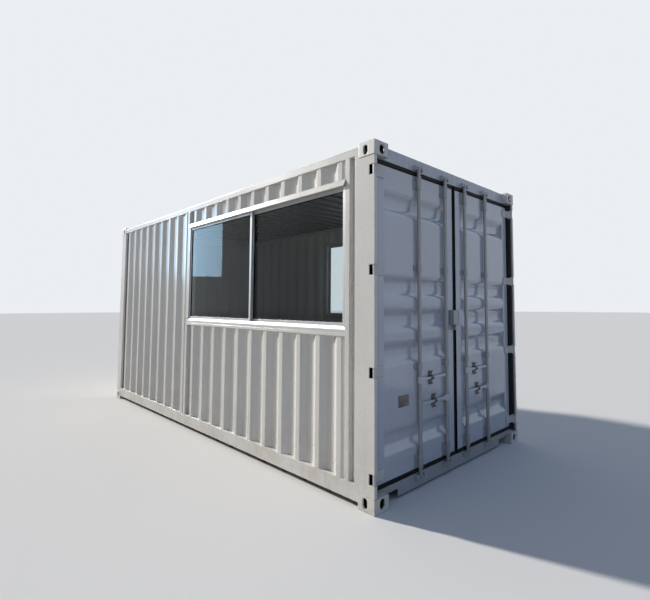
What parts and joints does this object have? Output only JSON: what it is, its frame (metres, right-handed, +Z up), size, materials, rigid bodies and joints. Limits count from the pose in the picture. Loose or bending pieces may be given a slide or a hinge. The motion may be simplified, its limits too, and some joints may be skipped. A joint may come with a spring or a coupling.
{
  "type": "shipping container cabin",
  "caption": "Steel shipping container fitted out as a cabin, with a wide sliding window in each long side and a pair of hinged cargo doors at one end.",
  "frame": {"origin": "centre of the container on the ground, under the corner castings' bottom faces", "axes": "+X along the length towards the cargo doors, +Y across to the right-hand door's side, +Z up"},
  "size_m": [6.058, 2.47, 2.896],
  "materials": {
    "body_paint": "satin off-white paint over corrugated steel, lightly weathered",
    "door_paint": "satin off-white paint, dusty, with scuffs and small rust marks",
    "underframe_paint": "matt dark coating",
    "plywood": "worn oiled plywood",
    "window_aluminium": "satin mill aluminium",
    "window_glass": "clear glass with a dusty film",
    "door_rubber": "matt black rubber",
    "catch_steel": "dark galvanized steel, worn and dirty",
    "gear_steel": "worn galvanized steel under thin paint",
    "hinge_steel": "painted forged steel"
  },
  "bodies": {
    "cabin": {"bottom_corner_castings": "body_paint", "top_corner_castings": "body_paint", "end_corner_posts": "body_paint", "door_corner_posts": "body_paint", "hinge_pins": "gear_steel", "top_side_rails": "body_paint", "bottom_side_rails": "body_paint", "end_rails": "body_paint", "door_header": "door_paint", "door_sill": "door_paint", "cam_keepers": "door_paint", "cross_members": "underframe_paint", "floor_boards": "plywood", "roof_panel": "body_paint", "roof_plates": "body_paint", "end_wall": "body_paint", "left_wall": "body_paint", "left_wall_window_bay": "body_paint", "right_wall": "body_paint", "right_wall_window_bay": "body_paint", "window_studs": "body_paint", "window_rails": "body_paint", "window_flashings": "body_paint", "window_frame_rails": "window_aluminium", "window_frame_jambs": "window_aluminium", "front_sashes": "window_aluminium", "rear_sashes": "window_aluminium", "window_glass": "window_glass"},
    "left_door": {"left_door_stiles": "door_paint", "left_door_rails": "door_paint", "left_door_panel": "door_paint", "left_door_seal": "door_rubber", "left_door_lock_bars": "door_paint", "left_door_bar_brackets": "gear_steel", "left_door_handles": "gear_steel", "left_door_catches": "catch_steel", "left_door_hinges": "hinge_steel", "left_door_lock_box": "gear_steel"},
    "right_door": {"right_door_stiles": "door_paint", "right_door_rails": "door_paint", "right_door_panel": "door_paint", "right_door_seal": "door_rubber", "right_door_lock_bars": "door_paint", "right_door_bar_brackets": "gear_steel", "right_door_handles": "gear_steel", "right_door_catches": "catch_steel", "right_door_hinges": "hinge_steel", "right_door_lock_box": "gear_steel"}
  },
  "joints": [
    {"name": "left_door_hinge", "type": "hinge", "parent": "cabin", "child": "left_door", "pos_m": [3.01, -1.2, 1.456], "axis": [0, 0, -1], "range_deg": [0, 263]},
    {"name": "right_door_hinge", "type": "hinge", "parent": "cabin", "child": "right_door", "pos_m": [3.01, 1.2, 1.456], "axis": [0, 0, 1], "range_deg": [0, 263]}
  ]
}
